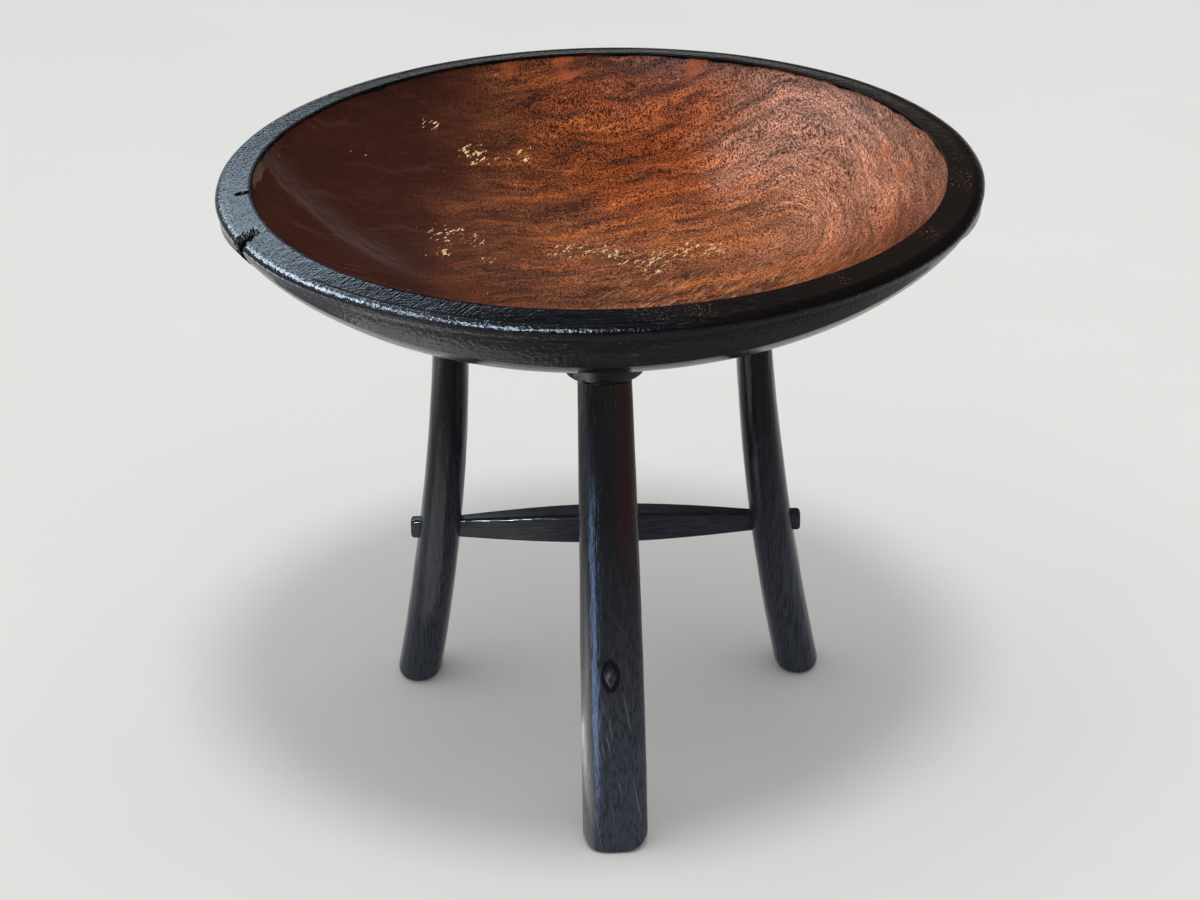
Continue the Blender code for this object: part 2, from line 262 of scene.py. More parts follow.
def wall_height(r, radius, top, depth, spread, squareness):
    share = np.clip(1 - (r / radius) ** spread, 0.0, None)
    return top - depth * share ** (1 / squareness)


RIM_WALL_TOP = TABLE_HEIGHT - RIM_FALL - RIM_OUTER_ROUND
INNER_RADIUS = BOWL_RADIUS - RIM_WIDTH
INNER_TOP = TABLE_HEIGHT - RIM_INNER_ROUND
OUTER_DEPTH = RIM_WALL_TOP - (TABLE_HEIGHT - BOWL_DEPTH)
INNER_DEPTH = INNER_TOP - (TABLE_HEIGHT - BOWL_DEPTH + FLOOR_THICKNESS)
INNER_WALL = (INNER_RADIUS, INNER_TOP, INNER_DEPTH, INNER_SPREAD, INNER_SQUARENESS)
OUTER_WALL = (BOWL_RADIUS, RIM_WALL_TOP, OUTER_DEPTH, OUTER_SPREAD, OUTER_SQUARENESS)


def bowl_profile():
    """Radius, height and distance inside the lip of each ring, from the floor's middle over the rim."""
    steps = np.linspace(INNERMOST_SHARE, 1.0, INSIDE_RINGS, endpoint=False)
    inside = INNER_RADIUS * (1 - (1 - steps) ** INSIDE_CROWDING)
    turn = np.linspace(math.pi, math.pi / 2, LIP_RINGS)
    lip = INNER_RADIUS + RIM_INNER_ROUND + RIM_INNER_ROUND * np.cos(turn)
    lip_z = INNER_TOP + RIM_INNER_ROUND * np.sin(turn)
    share = np.linspace(0, 1, RIM_RINGS)[1:-1]
    roll_start = BOWL_RADIUS - RIM_ROLL_WIDTH
    rim = part_way(lip[-1], roll_start, share)
    rim_z = TABLE_HEIGHT - RIM_FALL * share + RIM_CROWN * np.sin(math.pi * share)
    turn = np.linspace(math.pi / 2, 0, ROLL_RINGS)
    roll = roll_start + RIM_ROLL_WIDTH * np.cos(turn)
    roll_z = RIM_WALL_TOP + RIM_OUTER_ROUND * np.sin(turn)
    steps = np.linspace(1.0, INNERMOST_SHARE, OUTSIDE_RINGS + 1)[1:]
    outside = BOWL_RADIUS * (1 - (1 - steps) ** OUTSIDE_CROWDING)
    radius = np.concatenate([inside, lip, rim, roll, outside])
    inside_z, outside_z = wall_height(inside, *INNER_WALL), wall_height(outside, *OUTER_WALL)
    height = np.concatenate([inside_z, lip_z, rim_z, roll_z, outside_z])
    run = np.concatenate([[0.0], np.cumsum(np.hypot(np.diff(radius), np.diff(height)))])
    lip_run = run[INSIDE_RINGS + 1]
    return radius, np.minimum(height, TABLE_HEIGHT), lip_run - run


PROFILE_RADIUS, PROFILE_HEIGHT, PROFILE_RUN = bowl_profile()
INSIDE_REACH = PROFILE_RUN[0] + PROFILE_RADIUS[0]
ROLL_RUN = PROFILE_RUN[INSIDE_RINGS + LIP_RINGS + RIM_RINGS - 2]


def bowl_angles():
    """Even angles round the bowl, closer together where the rim is damaged."""
    angles = set(np.round(np.linspace(-180, 180, BOWL_SEGMENTS, endpoint=False), 3))
    chip_angle = (CHIP_OUTER_ANGLE + CHIP_INNER_ANGLE) / 2
    for middle, span in ((CRACK_ANGLE, CRACK_SPAN), (chip_angle, CHIP_SPAN)):
        angles |= set(np.round(np.arange(middle - span, middle + span, DAMAGE_SPACING), 3))
    return np.array(sorted(angles))


def boss_height(x, y, side):
    """Height of one boss' surface, which flares out into the underside of the bowl."""
    angle, rail_angle, _ = LEGS[side]
    middle = polar(angle, LEG_TOP_RADIUS)
    turn = math.radians(rail_angle)
    u = (x - middle.x) * math.cos(turn) + (y - middle.y) * math.sin(turn)
    v = (y - middle.y) * math.cos(turn) - (x - middle.x) * math.sin(turn)
    thick = np.abs(2 * u / LEG_TOP_THICKNESS) ** LEG_SQUARENESS
    wide = np.abs(2 * v / LEG_TOP_WIDTH) ** LEG_SQUARENESS
    ratio = np.maximum(thick + wide, SMALLEST_RATIO) ** (1 / LEG_SQUARENESS)
    growth = np.hypot(u, v) * (1 - 1 / ratio)
    edge = BOSS_LEDGE + BOSS_ROUND
    rounded = np.clip(growth - BOSS_LEDGE, 0, BOSS_ROUND)
    height = BOSS_BOTTOM + BOSS_ROUND - np.sqrt(BOSS_ROUND**2 - rounded**2)
    reach = LEG_TOP_RADIUS + LEG_TOP_WIDTH / 2 + edge + BOSS_FLARE
    root = wall_height(reach, *OUTER_WALL) + BOSS_ROOT
    flare = np.sqrt(np.clip((growth - edge) / BOSS_FLARE, 0, None))
    return np.where(growth > edge, part_way(height, root, flare), height)


def worked(r, z, run, turn):
    """Radius and height of each point of the bowl with the bosses and the unevenness of tool work."""
    x, y = r * np.cos(turn), r * np.sin(turn)
    flat = np.stack([x, y, z], -1).reshape(-1, 3)
    slow = ripple(flat, *SLOW_RIPPLE).reshape(r.shape)
    quick = ripple(flat, *QUICK_RIPPLE).reshape(r.shape)
    under = run < -(RIM_WIDTH + 2 * RIM_OUTER_ROUND)
    bosses = np.min([boss_height(x, y, side) for side in LEGS], axis=0)
    z = np.where(under, np.minimum(z, bosses), z)
    carved = np.where(under & (bosses <= z), 0.0, 1.0)
    shrink = OUTSIDE_WAVE * carved * (SLOW_SHARE * slow + QUICK_SHARE * quick - 1)
    swell = INSIDE_WAVE * (slow + quick) * smooth_step(0.0, CALM_MIDDLE, r)
    r = r + np.where(run > 0, swell, shrink)
    on_rim = smooth_step(RIM_WAVE_REACH, 0.0, np.abs(run - RIM_WAVE_RUN))
    z = z + RIM_WAVE * on_rim * (slow + RIM_QUICK_SHARE * quick - 1 - RIM_QUICK_SHARE)
    return r, z + np.where(run > 0, FLOOR_WAVE * quick, 0.0)


def crack_depth(radius, angle):
    along = (radius - CRACK_RADIUS) / (CRACK_LENGTH / 2)
    across = np.radians(angle - CRACK_ANGLE) * CRACK_RADIUS / (CRACK_WIDTH / 2)
    return CRACK_DEPTH * smooth_step(0.0, CRACK_SLOPE, 1 - along**2 - across**2)


def chip_depth(radius, angle):
    share = (radius - CHIP_INNER_RADIUS) / (BOWL_RADIUS - CHIP_INNER_RADIUS)
    share = np.clip(share, CHIP_INNER_SHARE, 1.0)
    line = part_way(CHIP_INNER_ANGLE, CHIP_OUTER_ANGLE, share)
    across = np.radians(angle - line) * BOWL_RADIUS
    jags = sum(size * np.sin(share * waves + phase) for size, waves, phase in CHIP_JAGS)
    half = CHIP_WIDTH / 2 * (part_way(CHIP_INNER_WIDTH, 1, share) + jags)
    torn = 1 - CHIP_TEAR + CHIP_TEAR * np.sin(across * CHIP_TEAR_ACROSS + share * CHIP_TEAR_ALONG)
    notch = smooth_step(0.0, CHIP_SLOPE, 1 - np.abs(across / half))
    deepening = part_way(CHIP_INNER_DEPTH, 1, share)
    return CHIP_DEPTH * notch * torn * deepening * smooth_step(*CHIP_START, share)


def spots(points, places):
    """One in the middle of each round place, falling to nothing at its edge."""
    share = np.zeros(points.shape[:2])
    for x, y, reach in places:
        away = np.hypot(points[..., 0] - x, points[..., 1] - y)
        share = np.maximum(share, smooth_step(reach, SPOT_CORE * reach, away))
    return share


def arc_share(angle, middle, reach):
    away = np.abs((angle - middle + 180) % 360 - 180)
    return smooth_step(reach, ARC_CORE * reach, away)


def bowl_marks(rings, angle, run, crack, chip):
    """What the bowl's finish has to know at each point; crack and chip are shares of their full depth."""
    return {
        "inside": run,
        "damage": np.clip(crack + chip, 0, 1),
        "torn": smooth_step(*TORN_FROM, chip) * smooth_step(*TORN_TO, chip),
        "worn": np.where(run > 0, spots(rings, WORN_PLACES), 0.0),
        "bright": np.where(run > 0, spots(rings, BRIGHT_PLACES), 0.0),
        "bare_lip": arc_share(angle, BARE_LIP_ANGLE, BARE_LIP_REACH),
        "rubbed": np.max([arc_share(angle, *place) for place in RUBBED_RIM], axis=0),
    }


def polished_faces(angle, run, damage):
    """Whether each face of the bowl, ring by ring, takes the finish of the inside."""
    beside = np.roll(damage, -1, axis=1)
    broken = (damage[:-1] + damage[1:] + beside[:-1] + beside[1:]) / 4 > BROKEN_FROM
    arris = np.abs((run[:-1] + run[1:]) / 2 - ROLL_RUN - ARRIS_INSET) < ARRIS_REACH
    arris &= (angle[:-1] > ARRIS_ANGLES[0]) & (angle[:-1] < ARRIS_ANGLES[1])
    within = (run[:-1] > -LIP_REACH) | broken | arris
    end_faces = np.tile((True, False), angle.shape[1])
    return np.concatenate([within.reshape(-1), end_faces])


def build_bowl(outside, inside):
    angles = bowl_angles()
    radius, angle = np.meshgrid(PROFILE_RADIUS, angles, indexing="ij")
    height = np.repeat(PROFILE_HEIGHT[:, None], len(angles), axis=1)
    run = np.repeat(PROFILE_RUN[:, None], len(angles), axis=1)
    turn = np.radians(angle)
    r, z = worked(radius, height, run, turn)
    crack = np.where((run < CRACK_INNER_RUN) & (run > -RIM_WIDTH), crack_depth(r, angle), 0.0)
    chip = np.where((run < 0) & (z > TABLE_HEIGHT - CHIP_REACH_DOWN), chip_depth(r, angle), 0.0)
    fade = smooth_step(*(TABLE_HEIGHT - drop for drop in CHIP_FADE), z)
    z = z - crack - CHIP_SINK * chip * fade
    r = r - CHIP_BITE * chip * fade * smooth_step(*CHIP_BITE_RADII, r)
    rings = np.stack([r * np.cos(turn), r * np.sin(turn), z], -1)
    marks = bowl_marks(rings, angle, run, crack / CRACK_DEPTH, chip / CHIP_DEPTH)
    mesh = skin("carved_bowl", rings, marks)
    add_piece("carved_bowl", mesh, outside, "bowl_wood", "bowl")
    mesh.materials.append(inside)
    polished = polished_faces(angle, run, marks["damage"])
    mesh.polygons.foreach_set("material_index", polished.astype(np.int32))


# Legs


def leg_swell(height):
    return math.sin(math.pi / 2 * (1 - height / LEG_HEIGHT))


def leg_halves(height):
    """Half thickness and half width of a leg at a height."""
    swell = leg_swell(height)
    thickness = part_way(LEG_TOP_THICKNESS, LEG_FOOT_THICKNESS, swell)
    width = part_way(LEG_TOP_WIDTH, LEG_FOOT_WIDTH, swell)
    return thickness / 2, width / 2


def leg_middle(side, height):
    angle, _, foot_radius = LEGS[side]
    reach = (foot_radius - LEG_TOP_RADIUS) * (1 - height / LEG_HEIGHT) ** LEG_SWEEP
    return polar(angle, LEG_TOP_RADIUS + reach, height)


def leg_ring(middle, half_thickness, half_width, rail_angle, squareness):
    turn = math.radians(rail_angle)
    angles = np.linspace(0, 2 * math.pi, LEG_SIDES, endpoint=False)
    c, s = np.cos(angles), np.sin(angles)
    u = np.sign(c) * np.abs(c) ** (2 / squareness) * half_thickness
    v = np.sign(s) * np.abs(s) ** (2 / squareness) * half_width
    x = middle.x + u * math.cos(turn) - v * math.sin(turn)
    y = middle.y + u * math.sin(turn) + v * math.cos(turn)
    return np.stack([x, y, np.full_like(x, middle.z)], -1)


def foot_wear(height):
    """How far the worn right corner of the front foot is rounded in at a height."""
    lift = max(0.0, 1 - height / FOOT_WEAR)
    return FOOT_WEAR * (1 - math.sqrt(1 - lift * lift))


def shaped_ring(side, height, inset=0.0):
    """A leg's outline at a height; the front leg's left side slants and its foot is worn on the right."""
    thin, wide = leg_halves(height)
    middle = leg_middle(side, height)
    _, rail_angle, _ = LEGS[side]
    if side != "front":
        return leg_ring(middle, thin - inset, wide - inset, rail_angle, LEG_SQUARENESS)
    swell = leg_swell(height)
    squareness = part_way(LEG_SQUARENESS, FRONT_FOOT_SQUARENESS, swell)
    ring = leg_ring(middle, thin - inset, wide - inset, rail_angle, squareness)
    x, y = ring[:, 0], ring[:, 1]
    towards_front = (middle.y + thin - y) / (2 * thin)
    slant = FRONT_SIDE_SLANT * swell * towards_front * np.clip(-x / wide, 0, 1)
    worn = foot_wear(height) * np.clip(x / wide, 0, 1) ** 2
    ring[:, 0] = x + slant - worn
    return ring


def hewn(rings, seed):
    """A leg's rings drawn in unevenly by tool work."""
    flat = rings.reshape(-1, 3) * np.array(HEWING_STRETCH)
    waves = sum(share * ripple(flat, scale, seed + shift) for share, scale, shift in HEWING)
    outward = rings - rings.mean(1, keepdims=True)
    outward /= np.linalg.norm(outward, axis=-1, keepdims=True)
    step = HEWING_HEIGHT * (waves.reshape(rings.shape[:2]) - HEWING_SINK)
    return rings + outward * step[..., None]


def build_leg(side, seed, material):
    angle, rail_angle, _ = LEGS[side]
    rings = []
    for turn in np.linspace(0, math.pi / 2, FOOT_RINGS, endpoint=False):
        inset = FOOT_ROUND * (1 - math.sin(turn))
        rings.append(shaped_ring(side, FOOT_ROUND * (1 - math.cos(turn)), inset))
    for height in np.linspace(FOOT_ROUND, LEG_HEIGHT, LEG_RINGS):
        rings.append(shaped_ring(side, height))
    tenon = []
    for height in (LEG_HEIGHT, LEG_HEIGHT + TENON_LENGTH):
        middle = polar(angle, LEG_TOP_RADIUS, height)
        tenon.append(leg_ring(middle, TENON_RADIUS, TENON_RADIUS, rail_angle, ROUND_SQUARENESS))
    mesh = skin(f"hewn_{side}_leg", np.concatenate([hewn(np.array(rings), seed), tenon]))
    add_piece(f"hewn_{side}_leg", mesh, material, "leg_wood", f"{side}_leg")


# Rails


def upright(origin, along, distance, outline):
    """The points of an outline that stands square to a rail at a distance along it."""
    across = Vector((-along.y, along.x, 0.0))
    centre = origin + along * distance
    return [centre + across * u + Vector((0.0, 0.0, v)) for u, v in outline]


def rail_ring(origin, along, distance, width, height, corner):
    """A rounded upright rectangle."""
    outline = []
    for sx, sz, start in ((1, 1, 0), (-1, 1, 90), (-1, -1, 180), (1, -1, 270)):
        for i in range(RAIL_CORNER_STEPS + 1):
            angle = math.radians(start + 90 * i / RAIL_CORNER_STEPS)
            u = sx * (width / 2 - corner) + corner * math.cos(angle)
            v = sz * (height / 2 - corner) + corner * math.sin(angle)
            outline.append((u, v))
    return upright(origin, along, distance, outline)


def tenon_ring(origin, along, distance, width, height):
    """A pointed upright oval with as many points as a rail's ring."""
    sides = 4 * (RAIL_CORNER_STEPS + 1)
    outline = []
    for i in range(sides):
        angle = 2 * math.pi * (i + 0.5) / sides
        v = math.sin(angle)
        u = math.copysign(1 - abs(v) ** TENON_POINTEDNESS, math.cos(angle))
        outline.append((u * width / 2, v * height / 2))
    return upright(origin, along, distance, outline)


def rail_body(origin, along, start, end):
    rings = []
    for share in np.linspace(0, 1, RAIL_RINGS):
        swell = math.sin(math.pi * share)
        width = part_way(RAIL_TENON_WIDTH, RAIL_DEPTH, swell)
        height = part_way(RAIL_TENON_HEIGHT, RAIL_HEIGHT, swell)
        corner = part_way(RAIL_TENON_CORNER, RAIL_CORNER, swell)
        rings.append(rail_ring(origin, along, part_way(start, end, share), width, height, corner))
    return rings


def blunt_end(origin, along, inner, tip):
    """Rings of a tenon whose end is a block with rounded edges."""
    rings = [rail_ring(origin, along, inner, RAIL_TENON_WIDTH, RAIL_TENON_HEIGHT, RAIL_TENON_CORNER)]
    turn = np.linspace(0, math.pi / 2, BLUNT_RINGS)
    for share, inset in zip(np.sin(turn), 1 - np.cos(turn)):
        distance = tip - math.copysign(TENON_BLUNT, tip) * (1 - share)
        width = RAIL_TENON_WIDTH - 2 * TENON_BLUNT * inset
        height = RAIL_TENON_HEIGHT - 2 * TENON_BLUNT * inset
        corner = RAIL_TENON_CORNER * (1 - BLUNT_CORNER_LOSS * inset)
        rings.append(rail_ring(origin, along, distance, width, height, corner))
    return rings


def ridged_end(origin, along, inner, tip):
    """Rings of a tenon from inside the leg to the ridge of its end."""
    face = part_way(inner, tip, TENON_FACE_SHARE)
    rings = [tenon_ring(origin, along, inner, TENON_BASE_WIDTH, TENON_BASE_HEIGHT)]
    for turn in np.linspace(0, math.pi / 2, RIDGE_RINGS):
        width = part_way(TENON_RIDGE_WIDTH, TENON_BASE_WIDTH, math.cos(turn))
        height = part_way(TENON_RIDGE_HEIGHT, TENON_BASE_HEIGHT, math.cos(turn))
        rings.append(tenon_ring(origin, along, part_way(face, tip, math.sin(turn)), width, height))
    return rings


def build_cross_rail(material):
    place = leg_middle("right", RAIL_LEVEL)
    half, _ = leg_halves(RAIL_LEVEL)
    along = Vector((1.0, 0.0, 0.0))
    middle = Vector((0.0, place.y, RAIL_LEVEL))
    neck = place.x - half
    seat = place.x + half * TENON_SEAT
    right_end = blunt_end(middle, along, seat, CROSS_TENON_TIP)
    left_end = blunt_end(middle, along, -seat, -CROSS_TENON_TIP)
    rings = left_end[::-1] + rail_body(middle, along, -neck, neck) + right_end
    mesh = skin("shaped_cross_rail", rings)
    add_piece("shaped_cross_rail", mesh, material, "rail_wood", "cross_rail")


def build_middle_rail(material):
    place = leg_middle("front", RAIL_LEVEL)
    half, _ = leg_halves(RAIL_LEVEL)
    along = Vector((0.0, -1.0, 0.0))
    origin = Vector((0.0, leg_middle("right", RAIL_LEVEL).y, RAIL_LEVEL))
    leg_distance = origin.y - place.y
    tip = origin.y + FRONT_TENON_TIP
    rings = rail_body(origin, along, RAIL_DEPTH / 2 - STUB_LENGTH, leg_distance - half)
    rings += ridged_end(origin, along, leg_distance + half * TENON_SEAT, tip)
    mesh = skin("shaped_middle_rail", rings)
    add_piece("shaped_middle_rail", mesh, material, "rail_wood", "middle_rail")


# Material helpers

DRIFT_DETAIL = 2


class Finish:
    """A material under construction: short calls that add nodes and return their output sockets."""

    def __init__(self, name):
        self.material = bpy.data.materials.new(name)
        self.material.use_nodes = True
        self.tree = self.material.node_tree
        self.shader = self.tree.nodes["Principled BSDF"]

    def node(self, kind, inputs, output=0, **settings):
        made = self.tree.nodes.new(kind)
        for key, value in settings.items():
            setattr(made, key, value)
        for socket, value in inputs.items():
            self.plug(value, made.inputs[socket])
        return made.outputs[output]

    def plug(self, value, socket):
        if isinstance(value, bpy.types.NodeSocket):
            self.tree.links.new(value, socket)
        else:
            socket.default_value = value

    def set(self, **values):
        for key, value in values.items():
            self.plug(value, self.shader.inputs[key.replace("_", " ")])

    def place(self):
        return self.node("ShaderNodeTexCoord", {}, "Object")

    def attribute(self, name):
        return self.node("ShaderNodeAttribute", {}, "Fac", attribute_name=name)

    def stretch(self, vector, scale, turn=(0.0, 0.0, 0.0)):
        return self.node("ShaderNodeMapping", {"Vector": vector, "Scale": scale, "Rotation": turn})

    def noise(self, vector, scale, detail, roughness=0.55):
        inputs = {"Vector": vector, "Scale": scale, "Detail": detail, "Roughness": roughness}
        return self.node("ShaderNodeTexNoise", inputs, "Fac")

    def flowing_noise(self, flow, scale, detail, roughness=0.55):
        """Noise drawn out along a flow, which is three numbers, each with a scale of its own."""
        parts = [self.math("MULTIPLY", value, factor) for value, factor in zip(flow, scale)]
        return self.noise(self.node("ShaderNodeCombineXYZ", dict(enumerate(parts))), 1.0, detail, roughness)

    def slanting_noise(self, vector, angle, scale, detail, roughness=0.55):
        """Noise drawn out in lines that lie at an angle about the vertical, in degrees."""
        turned = self.stretch(vector, (1.0, 1.0, 1.0), (0.0, 0.0, -math.radians(angle)))
        return self.noise(self.stretch(turned, scale), 1.0, detail, roughness)

    def shifted(self, vector, scale, reach):
        """A place moved about by smooth noise."""
        inputs = {"Vector": vector, "Scale": scale, "Detail": DRIFT_DETAIL}
        drift = self.node("ShaderNodeTexNoise", inputs, "Color")
        drift = self.vector("SUBTRACT", drift, (0.5, 0.5, 0.5))
        return self.vector("ADD", vector, self.vector("SCALE", drift, reach))

    def vector(self, operation, a, b):
        second = "Scale" if operation == "SCALE" else 1
        return self.node("ShaderNodeVectorMath", {0: a, second: b}, operation=operation)

    def math(self, operation, a, b=0.0):
        return self.node("ShaderNodeMath", {0: a, 1: b}, operation=operation)

    def product(self, *values):
        total = values[0]
        for value in values[1:]:
            total = self.math("MULTIPLY", total, value)
        return total

    def total(self, *terms):
        """The sum of values, each with its weight."""
        parts = [self.math("MULTIPLY", value, weight) for value, weight in terms]
        total = parts[0]
        for part in parts[1:]:
            total = self.math("ADD", total, part)
        return total

    def squares(self, a, b):
        """The sum of the squares of two values."""
        return self.math("ADD", self.product(a, a), self.product(b, b))

    def split(self, vector):
        made = self.tree.nodes.new("ShaderNodeSeparateXYZ")
        self.plug(vector, made.inputs[0])
        return made.outputs

    def remap(self, value, low, high, to_low=0.0, to_high=1.0):
        inputs = {"Value": value, "From Min": low, "From Max": high, "To Min": to_low, "To Max": to_high}
        return self.node("ShaderNodeMapRange", inputs, interpolation_type="SMOOTHSTEP")

    def strength(self, value, *windows):
        """How far a value is through each of its windows, multiplied."""
        return self.product(*(self.remap(value, *window) for window in windows))

    def mix(self, factor, a, b):
        inputs = {0: factor, 6: (*a, 1.0) if isinstance(a, tuple) else a}
        inputs[7] = (*b, 1.0) if isinstance(b, tuple) else b
        return self.node("ShaderNodeMix", inputs, 2, data_type="RGBA")

    def lay(self, colour, over, *parts):
        """A colour over another, as strong as the product of parts: numbers, or values with windows."""
        shares = [self.strength(*part) if isinstance(part, tuple) else part for part in parts]
        return self.mix(self.product(*shares), colour, over)

    def blend(self, factor, a, b):
        """As mix, but for plain numbers."""
        return self.node("ShaderNodeMix", {0: factor, 2: a, 3: b})

    def bump(self, height, distance):
        return self.node("ShaderNodeBump", {"Height": height, "Distance": distance})

    def wood(self, colour, roughness, relief, depth, gloss):
        """The finished material."""
        self.set(Base_Color=colour, Roughness=roughness, Normal=self.bump(relief, depth))
        self.set(Specular_IOR_Level=gloss)
        return self.material


# Finishes: linear colours
WHITE = (1.0, 1.0, 1.0)
BLACK_BLUE = (0.0066, 0.0074, 0.0105)
BLACK_BROWN = (0.01, 0.007, 0.006)
RIM_BROWN = (0.015, 0.0096, 0.007)
# Deepest black, for dark grain lines and for painted shade in the crack, the chip, round the front tenon and
# on the right of the outside wall
DEEP_BLACK_AND_SHADE = (0.002, 0.002, 0.0024)
RUDDY_BLACK = (0.026, 0.0062, 0.0056)
RUBBED_AND_GLINT_GREY = (0.11, 0.108, 0.112)
LOW_PALE_BLACK = (0.047, 0.0525, 0.07)
SCRATCH_GREY = (0.3, 0.31, 0.34)
PAINTED_EDGE_SHEEN = (0.16, 0.155, 0.165)
PAINTED_OUTER_SHEEN = (0.027, 0.028, 0.035)
RUBBED_GOLD = (0.33, 0.2, 0.1)
BARE_PALE = (0.8, 0.56, 0.29)
DARK_PORES = (0.3, 0.19, 0.17)
PALE_DASHES_AND_GLINTS = (1.54, 1.84, 1.8)
PAINTED_SHEEN_GREY = (0.11, 0.085, 0.08)
STROKE_TAN = (0.56, 0.27, 0.12)
BARE_EDGE = (0.115, 0.078, 0.052)
TORN_GLINT_GREY = (0.34, 0.345, 0.38)
LEFT_SHADE_BROWN = (0.043, 0.014, 0.0095)
SHADED_LEFT_BROWN = (0.12, 0.036, 0.0175)
MIDDLE_BROWN = (0.21, 0.064, 0.031)
BACK_ORANGE = (0.255, 0.054, 0.0165)
BACK_SHADE = (0.195, 0.063, 0.039)
FRONT_BROWN = (0.205, 0.053, 0.021)
SWIRL_PINK_AND_SHEEN = (0.43, 0.162, 0.094)
PAINTED_VEIL_SHEEN = (0.4, 0.185, 0.14)
WALL_PINK_AND_SHEEN = (0.25, 0.095, 0.06)
ORANGE_BROWN = (0.33, 0.084, 0.02)
PLUM_BROWN = (0.075, 0.027, 0.02)
ORANGE_RED = (0.43, 0.1, 0.038)
WEDGE_PALE, WEDGE_DARK = (0.3, 0.17, 0.08), (0.18, 0.102, 0.048)
FLOOR_PALE, FLOOR_PALER = (0.768, 0.77, 0.752), (0.783, 0.785, 0.767)

# The fibres run along the axis on which the noise is drawn out
LEG_FIBRES = (1.0, 1.0, 0.06)
CROSS_RAIL_FIBRES = (0.06, 1.0, 1.0)
MIDDLE_RAIL_FIBRES = (1.0, 0.06, 1.0)
BOWL_FIBRES = (0.1, 1.0, 1.0)
WEDGE_FIBRES = (1.0, 1.0, 0.1)
GLOSS, INSIDE_GLOSS, WEDGE_GLOSS = 0.1, 0.012, 0.5
BLACK_BUMP, BOWL_BUMP, WEDGE_BUMP = 0.001, 0.0007, 0.0003

# Noise: cells per metre, detail and roughness
PORES = (820, 3, 0.65)
LINES = (250, 3, 0.6)
BANDS = (46, 2)
GRIT = (620, 2, 0.6)
PATCHES = (11, 2)
LOW_PALE_FIBRE_NOISE, LOW_PALE_PATCH_NOISE = (600, 3, 0.6), (90, 3)
RIM_SCUFFS = (520, 3, 0.6)
HAMMERING = (340, 1, 0.5)
LIP_WANDER = (38, 4)
CLOUD = (16, 3)
WEDGE_GRAIN = (500, 4)
FLOOR_MOTTLE = (3, 4)

# Noise along a flow: cells per metre on each of its three numbers, detail and roughness
BAND_GRAIN = ((42, 6, 12), 2)
STREAK_GRAIN = ((165, 14, 24), 3, 0.6)
THREAD_GRAIN = ((420, 50, 40), 2, 0.6)
DASH_GRAIN = ((1400, 680, 60), 1, 0.6)
FLOW_GRAINS = (BAND_GRAIN, STREAK_GRAIN, THREAD_GRAIN, DASH_GRAIN)
LEG_SCRATCHES = ((1250, 60, 13), 1)

# Noise in slanting lines: angle in degrees, cells per metre along, across and upwards, detail, roughness
SHEEN_STREAK_NOISE = (-39, (45, 420, 1), 3, 0.6)
FLECKS = (32, (210, 520, 1), 2, 0.65)
STROKES = (36, (95, 720, 1), 1)
BRUSHING = (50, (60, 430, 200), 1)

# Drift of places: cells per metre and reach in metres
SLOW_DRIFT, QUICK_DRIFT = (9, 0.030), (65, 0.006)
ZONE_DRIFT, EDGE_DRIFT = (14, 0.09), (60, 0.012)

# Below, a window is the range over which something fades in, in metres or in a noise's numbers from 0 to 1.
# Two more numbers give the strengths at its ends. A share says how strongly something shows at most.

# Black stain
BROWN_PATCHES = (0.45, 0.68)
DEEP_LINES = (0.50, 0.38, 0.0, 0.7)
RUBBED_GLINT_PORES, RUBBED_GLINT_LINES, RUBBED_GLINT_SHARE = (0.58, 0.68), (0.50, 0.62), 0.55
BLACK_ROUGHNESS = (0.3, 0.7, 0.10, 0.19)
PORE_RELIEF = 0.3
LOW_PALE_STRETCH = (1.0, 1.0, 0.3)
LOW_PALE_PATCHES, LOW_PALE_FIBRES = (0.20, 0.48, 0.75, 1.0), (0.36, 0.60, 0.45, 1.15)
LOW_PALE_HEIGHT = (0.30, 0.02)
BLACK_RELIEF = (0.4, 0.10)

# Front leg: ruddy on the right high up, a painted reflection on its left edge, painted shade round the tenon,
# scratched low down
RUDDY_SIDE, RUDDY_HEIGHT, RUDDY_SHARE = (0.001, 0.014), (0.18, 0.28), 0.75
SHEEN_EDGE_SIDE, SHEEN_EDGE_HEIGHT, SHEEN_EDGE_SHARE = (-0.013, -0.019), (0.30, 0.05), 0.8
TENON_SHADE = (2.1, 1.4)
SCRATCH_LEAN = 0.17
SCRATCHED, SCRATCHED_HEIGHT, SCRATCH_SHARE = (0.69, 0.74), (0.15, 0.10), 0.55
FRONT_RELIEF = (0.6, 0.12)

# Inside of the bowl: its grain is drawn out from front to back and bends round a swirl on the right
FIGURE_STRETCH = (1.0, 0.45, 1.0)
SMALLEST_RADIUS = 0.001
SWIRL_X, SWIRL_Y = 0.152, 0.007
SWIRL_TURN = math.radians(6)
BACK_ZONE, MIDDLE_ZONE = (0.05, 0.14), (-0.09, 0.02)
PINK_ZONE, RIGHT_ZONE = (-0.07, 0.06), (0.06, 0.20)
SHEEN_WALL_ZONE = (0.24, 0.30, 0.0, 0.8)
SHEEN_VEIL_BACK, SHEEN_VEIL_RIGHT, SHEEN_VEIL_SHARE = (0.07, 0.17), (0.08, 0.16), 0.8
SHADE_BACK, SHADE_RIGHT = (0.19, 0.29), (-0.05, 0.08)
LEFT_SHADE_ZONE = (-0.08, -0.16)
GLOW_BANDS, GLOW_SPAN, GLOW_SHARE = (0.48, 0.66), ((-0.10, 0.0), (0.20, 0.1)), 0.3
WARM_STREAKS, WARM_SPAN, WARM_SHARE = (0.52, 0.66), ((-0.12, -0.04), (0.24, 0.12)), 0.5
